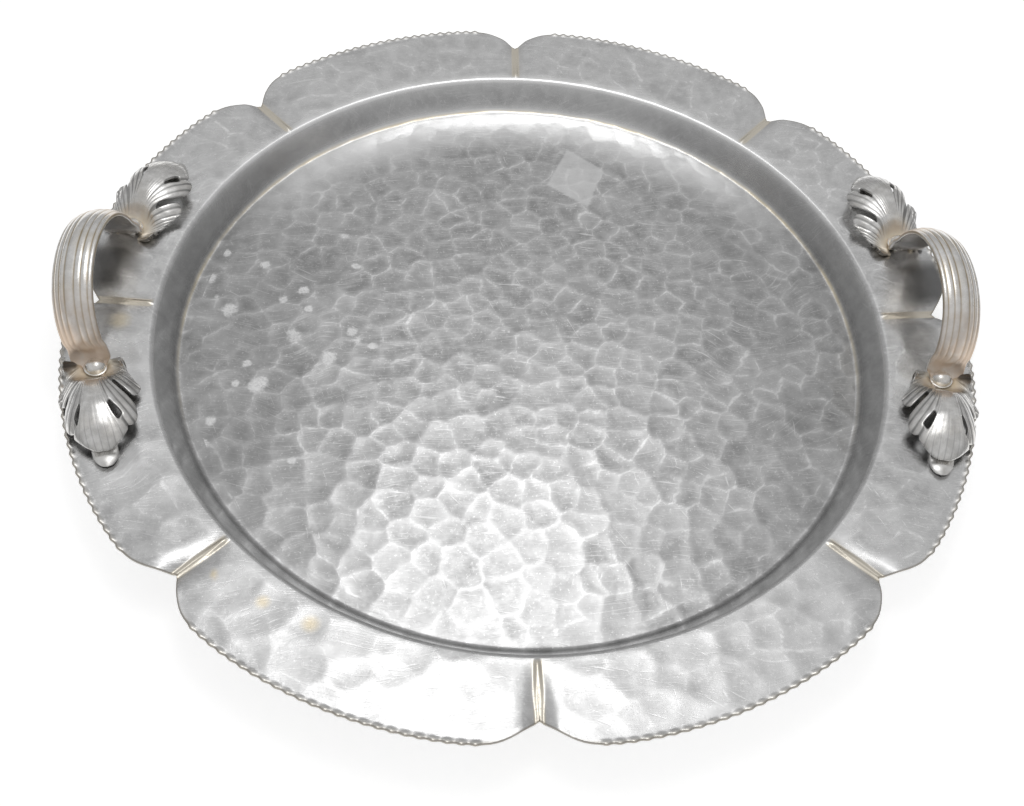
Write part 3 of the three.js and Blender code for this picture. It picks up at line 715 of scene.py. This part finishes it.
# Thin straight scratches, all about one way.
def scratch_group():
    tree = bpy.data.node_groups.new("fine_scratches", "ShaderNodeTree")
    tree.interface.new_socket("Vector", in_out="INPUT", socket_type="NodeSocketVector")
    tree.interface.new_socket("Turn", in_out="INPUT", socket_type="NodeSocketFloat")
    tree.interface.new_socket("Length", in_out="INPUT", socket_type="NodeSocketFloat")
    tree.interface.new_socket("Width", in_out="INPUT", socket_type="NodeSocketFloat")
    tree.interface.new_socket("Rarity", in_out="INPUT", socket_type="NodeSocketFloat")
    tree.interface.new_socket("Mask", in_out="OUTPUT", socket_type="NodeSocketFloat")
    wires = Wires(tree)
    given = wires.node("NodeGroupInput").outputs
    bend = wires.node("ShaderNodeTexNoise", Vector=given["Vector"], Scale=14.0, Detail=1.0).outputs["Fac"]
    angle = wires.math("ADD", given["Turn"], wires.math("MULTIPLY", wires.math("SUBTRACT", bend, 0.5), 0.5))
    turned = wires.node("ShaderNodeVectorRotate", {"rotation_type": "Z_AXIS"}, Vector=given["Vector"], Angle=angle).outputs[0]
    parts = wires.node("ShaderNodeSeparateXYZ", Vector=turned).outputs
    spread = wires.node("ShaderNodeCombineXYZ", X=wires.math("DIVIDE", parts["X"], given["Length"]),
                        Y=wires.math("DIVIDE", parts["Y"], given["Width"]), Z=given["Turn"]).outputs[0]
    field = wires.noise(spread, 1.0, 1.0)
    high = wires.math("ADD", given["Rarity"], 0.08)
    mask = wires.math("DIVIDE", wires.math("SUBTRACT", field, given["Rarity"]), wires.math("SUBTRACT", high, given["Rarity"]), clamp=True)
    out = wires.node("NodeGroupOutput")
    tree.links.new(mask, out.inputs["Mask"])
    return tree


scratches = scratch_group()


def scratch_mask(wires, vector, turn, length, width, rarity):
    made = wires.node("ShaderNodeGroup", {"node_tree": scratches})
    wires.tree.links.new(vector, made.inputs["Vector"])
    for name, value in (("Turn", turn), ("Length", length), ("Width", width), ("Rarity", rarity)):
        made.inputs[name].default_value = value
    return made.outputs["Mask"]


def metal(name):
    material = bpy.data.materials.new(name)
    material.use_nodes = True
    tree = material.node_tree
    shader = tree.nodes["Principled BSDF"]
    shader.inputs["Metallic"].default_value = 1.0
    wires = Wires(tree)
    vector = wires.node("ShaderNodeTexCoord").outputs["Object"]
    return material, tree, shader, wires, vector


# Hammered metal: cloudy greys, pale ridges that are partly wear and partly painted highlight, specks and scratches.
def hammered_group():
    tree = bpy.data.node_groups.new("hammered_tone", "ShaderNodeTree")
    for name, kind in (("Vector", "Vector"), ("Ridge", "Float"), ("Cell", "Float"), ("Wear", "Float"), ("Low", "Color"), ("High", "Color"), ("Pale", "Color")):
        tree.interface.new_socket(name, in_out="INPUT", socket_type="NodeSocket" + kind)
    for name, kind in (("Tone", "Color"), ("Cloud", "Float"), ("Grain", "Float"), ("Speck", "Float")):
        tree.interface.new_socket(name, in_out="OUTPUT", socket_type="NodeSocket" + kind)
    wires = Wires(tree)
    given = wires.node("NodeGroupInput").outputs
    vector = given["Vector"]
    cloud = wires.noise(vector, 26.0, 4.0, 0.6)
    wide = wires.noise(vector, 42.0, 3.0, 0.7)
    blot = wires.noise(vector, 150.0, 5.0, 0.65)
    flake = wires.noise(vector, 420.0, 3.0, 0.7)
    speck = wires.noise(vector, 900.0, 2.0, 0.6)
    lines = scratch_mask(wires, vector, 0.15, 0.016, 0.0009, 0.68)
    cross = scratch_mask(wires, vector, 1.2, 0.012, 0.0008, 0.72)
    hair = scratch_mask(wires, vector, -0.1, 0.012, 0.0004, 0.60)
    step = wires.math("ADD", given["Ridge"], wires.math("MULTIPLY", wires.math("SUBTRACT", blot, 0.5), 0.12))
    # Pale ridges: partly polished wear, partly painted highlight
    ridge_wear_and_sheen = wires.math("MULTIPLY", wires.span(step, 0.0, 0.07, 1.0, 0.0), wires.span(wide, 0.40, 0.60, 0.06, 1.0))
    ridge_wear_and_sheen = wires.math("MULTIPLY", ridge_wear_and_sheen, wires.span(flake, 0.36, 0.56, 0.35, 1.0))
    glow = wires.math("MULTIPLY", wires.span(step, 0.0, 0.34, 1.0, 0.0), wires.span(wide, 0.36, 0.64, 0.14, 0.55))
    shade = wires.math("ADD", wires.math("MULTIPLY", wires.span(cloud, 0.35, 0.65), 0.5), wires.math("MULTIPLY", given["Cell"], 0.5))
    tone = wires.mix(shade, given["Low"], given["High"])
    tone = wires.mix(wires.span(blot, 0.36, 0.68, 0.0, 0.6), tone, given["Pale"])
    tone = wires.mix(glow, tone, grey(0.80))
    tone = wires.mix(ridge_wear_and_sheen, tone, grey(0.96))
    tone = wires.mix(wires.span(flake, 0.54, 0.72, 0.0, 0.4), tone, grey(0.82))
    tone = wires.mix(wires.span(speck, 0.60, 0.74, 0.0, 0.6), tone, grey(0.95))
    wear_and_rear_glow = wires.math("MAXIMUM", lines, wires.math("MAXIMUM", cross, wires.math("MULTIPLY", hair, 0.6)))
    tone = wires.mix(wires.math("MULTIPLY", wear_and_rear_glow, given["Wear"]), tone, grey(0.96))
    out = wires.node("NodeGroupOutput").inputs
    tree.links.new(tone, out["Tone"])
    tree.links.new(cloud, out["Cloud"])
    tree.links.new(wires.math("ADD", wires.math("MULTIPLY", wear_and_rear_glow, -0.5), blot), out["Grain"])
    tree.links.new(speck, out["Speck"])
    return tree


hammered = hammered_group()


def hammered_tone(wires, vector, wear, low, high, pale):
    made = wires.node("ShaderNodeGroup", {"node_tree": hammered}, Vector=vector, Wear=wear)
    for name in ("Ridge", "Cell"):
        wires.tree.links.new(wires.attribute(name.lower()), made.inputs[name])
    for name, value in (("Low", low), ("High", high), ("Pale", pale)):
        if isinstance(value, bpy.types.NodeSocket):
            wires.tree.links.new(value, made.inputs[name])
        else:
            made.inputs[name].default_value = value
    return made.outputs


FLOOR_GREYS = (grey(0.35), grey(0.54), grey(0.64))
FLANGE_GREYS = (grey(0.52), grey(0.70), grey(0.80))


# Painted shade darkens the floor to both sides, and a painted reflection makes it pale at the rear.
def aged(wires, tone, cloud):
    # Painted shade darkens the floor to both sides
    side_shade_share = wires.math("MULTIPLY", wires.attribute("tarnish"), wires.span(cloud, 0.3, 0.65, 0.4, 0.15))
    # Painted reflection makes the floor pale at the rear
    pale = wires.math("MULTIPLY", wires.attribute("wear_and_rear_glow"), wires.span(cloud, 0.3, 0.6, 0.7, 1.0))
    return wires.mix(pale, wires.mix(side_shade_share, tone, grey(0.22)), grey(0.97))


def hammered_floor_metal():
    material, tree, shader, wires, vector = metal("hammered_floor")
    made = hammered_tone(wires, vector, 0.55, *FLOOR_GREYS)
    tone, cloud, grain, speck = made["Tone"], made["Cloud"], made["Grain"], made["Speck"]
    ragged = wires.math("ADD", wires.attribute("stain"), wires.math("MULTIPLY", wires.math("SUBTRACT", grain, 0.5), 2.2))
    spotted = wires.math("MULTIPLY", wires.span(ragged, 0.5, 1.1), wires.span(speck, 0.3, 0.6, 0.6, 0.95))
    tone = wires.mix(spotted, aged(wires, tone, cloud), grey(0.94))
    patch = wires.math("MULTIPLY", wires.attribute("patch"), wires.span(grain, 0.2, 0.6, 0.75, 1.0))
    tone = wires.mix(wires.math("MULTIPLY", patch, 0.8), tone, grey(0.80))
    tree.links.new(tone, shader.inputs["Base Color"])
    rough = wires.math("ADD", 0.24, wires.math("MULTIPLY", cloud, 0.12))
    rough = wires.math("ADD", rough, wires.math("MULTIPLY", wires.math("MAXIMUM", spotted, patch), 0.3))
    tree.links.new(rough, shader.inputs["Roughness"])
    bump = wires.node("ShaderNodeBump", Strength=0.25, Distance=0.0002, Height=grain)
    tree.links.new(bump.outputs[0], shader.inputs["Normal"])
    return material


def flange_metal():
    material, tree, shader, wires, vector = metal("hammered_flange")
    well = wires.attribute("well")
    shades = [wires.mix(well, high, low) for high, low in zip(FLANGE_GREYS, FLOOR_GREYS)]
    made = hammered_tone(wires, vector, 0.35, *shades)
    tone, cloud, grain = made["Tone"], made["Cloud"], made["Grain"]
    flange = wires.attribute("flange")
    tone = wires.mix(well, tone, aged(wires, tone, cloud))
    # Painted shade: the walls darken towards both sides
    side = wires.math("MULTIPLY", wires.attribute("wall_shade"), wires.attribute("tarnish"))
    tone = wires.mix(wires.math("MULTIPLY", side, 0.5), tone, grey(0.34))
    # Painted highlight along the shoulder
    tone = wires.mix(wires.math("MULTIPLY", wires.attribute("shoulder"), 0.75), tone, grey(0.97))
    tone = wires.mix(wires.math("MULTIPLY", wires.attribute("shade"), 0.9), tone, grey(0.14))
    # Painted shade in the fold's valley
    tone = wires.mix(wires.math("MULTIPLY", wires.attribute("valley_shade"), 0.35), tone, grey(0.62, 0.03))
    tone = wires.mix(wires.math("MULTIPLY", wires.attribute("bead"), 0.7), tone, (0.80, 0.73, 0.60, 1))
    gilt = wires.math("MULTIPLY", wires.attribute("seam"), wires.span(cloud, 0.35, 0.6, 0.2, 0.8))
    tone = wires.mix(gilt, tone, (0.80, 0.68, 0.44, 1))
    # Painted shade in the dips between the crimps
    dip = wires.math("MULTIPLY", wires.attribute("rim"), wires.math("SUBTRACT", 1.0, wires.attribute("crimp")))
    tone = wires.mix(wires.math("MULTIPLY", dip, 0.3), tone, grey(0.5, 0.08))
    tone = wires.mix(wires.span(wires.attribute("tint"), 0.1, 0.9, 0.0, 0.55), tone, (0.84, 0.70, 0.44, 1))
    # Painted highlight on the crimp tips
    tip_highlight = wires.math("MULTIPLY", wires.attribute("rim"), wires.attribute("crimp"))
    tone = wires.mix(wires.math("MULTIPLY", tip_highlight, 0.6), tone, (0.92, 0.88, 0.80, 1))
    # Painted shade along the edge
    tone = wires.mix(wires.math("MULTIPLY", wires.attribute("lip_shade"), 0.65), tone, (0.30, 0.27, 0.22, 1))
    tree.links.new(tone, shader.inputs["Base Color"])
    rough = wires.math("ADD", 0.17, wires.math("MULTIPLY", wires.math("MAXIMUM", flange, well), wires.math("MULTIPLY", cloud, 0.18)))
    rough = wires.math("ADD", rough, wires.math("MULTIPLY", well, 0.05))
    rough = wires.math("ADD", rough, wires.math("MULTIPLY", wires.attribute("shoulder"), 0.06))
    tree.links.new(rough, shader.inputs["Roughness"])
    bump = wires.node("ShaderNodeBump", Strength=0.22, Distance=0.0002, Height=grain)
    tree.links.new(bump.outputs[0], shader.inputs["Normal"])
    return material


def handle_metal():
    material, tree, shader, wires, vector = metal("handle_cast")
    groove = wires.attribute("groove")
    foot = wires.attribute("foot")
    blot = wires.noise(vector, 240.0, 4.0, 0.6)
    cloud = wires.noise(vector, 80.0, 4.0, 0.6)
    strap = wires.attribute("strap")
    low = wires.mix(strap, grey(0.64, 0.012), grey(0.80, 0.012))
    high = wires.mix(strap, grey(0.84, 0.008), grey(0.95, 0.008))
    tone = wires.mix(wires.span(blot, 0.35, 0.7), low, high)
    hollow_shade = wires.attribute("hollow_shade")
    dark = wires.math("MULTIPLY", wires.span(groove, 0.25, 0.95), wires.span(cloud, 0.3, 0.6, 0.55, 0.92))
    tone = wires.mix(wires.math("MULTIPLY", wires.math("ADD", 0.45, wires.math("MULTIPLY", strap, 0.55)), wires.span(cloud, 0.38, 0.7, 0.0, 0.4)), tone, (0.74, 0.67, 0.56, 1))
    tone = wires.mix(dark, tone, wires.mix(strap, grey(0.24, 0.01), (0.40, 0.32, 0.20, 1)))
    stain = wires.math("MULTIPLY", foot, wires.span(cloud, 0.3, 0.62, 0.4, 0.9))
    tone = wires.mix(stain, tone, wires.mix(strap, (0.80, 0.68, 0.50, 1), (0.72, 0.58, 0.46, 1)))
    # Painted shade in the hollows of the curls
    tone = wires.mix(wires.math("MULTIPLY", hollow_shade, 0.9), tone, grey(0.08, 0.02))
    tree.links.new(tone, shader.inputs["Base Color"])
    rough = wires.math("ADD", 0.2, wires.math("MULTIPLY", wires.math("MAXIMUM", wires.math("MULTIPLY", groove, 0.6), foot), 0.34))
    tree.links.new(rough, shader.inputs["Roughness"])
    bump = wires.node("ShaderNodeBump", Strength=0.2, Distance=0.0002, Height=blot)
    tree.links.new(bump.outputs[0], shader.inputs["Normal"])
    return material


def rivet_metal():
    material, tree, shader, wires, vector = metal("rivet_dome")
    blot = wires.noise(vector, 300.0, 4.0, 0.6)
    tone = wires.mix(wires.span(blot, 0.3, 0.6), grey(0.66, 0.06), grey(0.84, 0.02))
    tree.links.new(tone, shader.inputs["Base Color"])
    tree.links.new(wires.span(blot, 0.3, 0.7, 0.32, 0.18), shader.inputs["Roughness"])
    return material


# Building the tray

floor_dents = scatter_dents(11, 0, 162, (6.8, 14.5), 20000)
flange_dents = scatter_dents(5, 160, 206, (7.5, 18), 9000)
make_pan_floor(hammered_floor_metal(), floor_dents)
make_pan_rim(flange_metal(), flange_dents, floor_dents)
cast = handle_metal()
FRONT_BEND = (6.0, 8.6, 0.0)
REAR_BEND = (5.2, 6.2, 3.4)
make_handle("right_handle", 0, ((15, *FRONT_BEND), (11, *REAR_BEND)), cast)
make_handle("left_handle", math.pi, ((20, *REAR_BEND), (17, *FRONT_BEND)), cast)
dome_metal = rivet_metal()
for side_name, side_x in (("left", -1), ("right", 1)):
    for end_name, end in (("front", -1), ("rear", 1)):
        make_rivet(f"{side_name}_{end_name}_rivet", side_x, end, dome_metal)


# Stage, light and camera

def make_stage():
    bm = bmesh.new()
    bmesh.ops.create_grid(bm, x_segments=1, y_segments=1, size=4)
    mesh = bpy.data.meshes.new("stage_floor")
    bm.to_mesh(mesh)
    bm.free()
    material = bpy.data.materials.new("pale_floor")
    material.use_nodes = True
    tree = material.node_tree
    shader = tree.nodes["Principled BSDF"]
    shader.inputs["Base Color"].default_value = (0.94, 0.94, 0.94, 1)
    shader.inputs["Roughness"].default_value = 0.9
    shader.inputs["Specular IOR Level"].default_value = 0.0
    shader.inputs["Emission Color"].default_value = (1, 1, 1, 1)
    wires = Wires(tree)
    path = wires.node("ShaderNodeLightPath").outputs
    seen = wires.math("ADD", path["Is Camera Ray"], wires.math("ADD", path["Is Glossy Ray"], path["Is Transmission Ray"]), clamp=True)
    tree.links.new(wires.math("MULTIPLY", seen, 0.5), shader.inputs["Emission Strength"])
    mesh.materials.append(material)
    floor = bpy.data.objects.new("stage_floor", mesh)
    bpy.context.scene.collection.objects.link(floor)


# Soft lamps above the tray: name, width, length, power and place in metres
LAMPS = (("broad_softbox", 0.40, 0.46, 0.23, (0.02, 0.16, 0.58)), ("small_softbox", 0.18, 0.24, 0.24, (0.0, 0.11, 0.55)))


def make_light():
    world = bpy.data.worlds.new("studio")
    world.use_nodes = True
    tree = world.node_tree
    wires = Wires(tree)
    up = wires.node("ShaderNodeSeparateXYZ", Vector=wires.node("ShaderNodeTexCoord").outputs["Generated"]).outputs["Z"]
    level = wires.span(up, 0.0, 0.8, 0.36, 0.56)
    tree.links.new(level, tree.nodes["Background"].inputs["Strength"])
    tree.nodes["Background"].inputs["Color"].default_value = (1, 1, 1, 1)
    bpy.context.scene.world = world
    for name, width, length, power, place in LAMPS:
        lamp = bpy.data.lights.new(name, "AREA")
        lamp.shape = "RECTANGLE"
        lamp.size = width
        lamp.size_y = length
        lamp.energy = power
        box = bpy.data.objects.new(name, lamp)
        box.location = place
        box.visible_camera = False
        bpy.context.scene.collection.objects.link(box)


def make_camera():
    elevation = math.radians(54.56)
    roll = math.radians(5.19)
    yaw = Matrix.Rotation(math.radians(-5.45), 3, "Z")
    right = yaw @ Vector((1, 0, 0))
    up = yaw @ Vector((0, math.sin(elevation), math.cos(elevation)))
    back = yaw @ Vector((0, -math.cos(elevation), math.sin(elevation)))
    x_axis = right * math.cos(roll) + up * math.sin(roll)
    y_axis = up * math.cos(roll) - right * math.sin(roll)
    lens = bpy.data.cameras.new("photo_camera")
    lens.sensor_fit = "HORIZONTAL"
    lens.sensor_width = 36
    lens.lens = 36.70
    lens.clip_start = 0.01
    camera = bpy.data.objects.new("photo_camera", lens)
    turned = Matrix((x_axis, y_axis, back)).transposed().to_4x4()
    camera.matrix_world = Matrix.Translation(Vector((-31.1, -308.0, 377.1 + SHEET)) * MM) @ turned
    bpy.context.scene.collection.objects.link(camera)
    bpy.context.scene.camera = camera


make_stage()
make_light()
make_camera()
bpy.context.scene.view_settings.view_transform = "Standard"
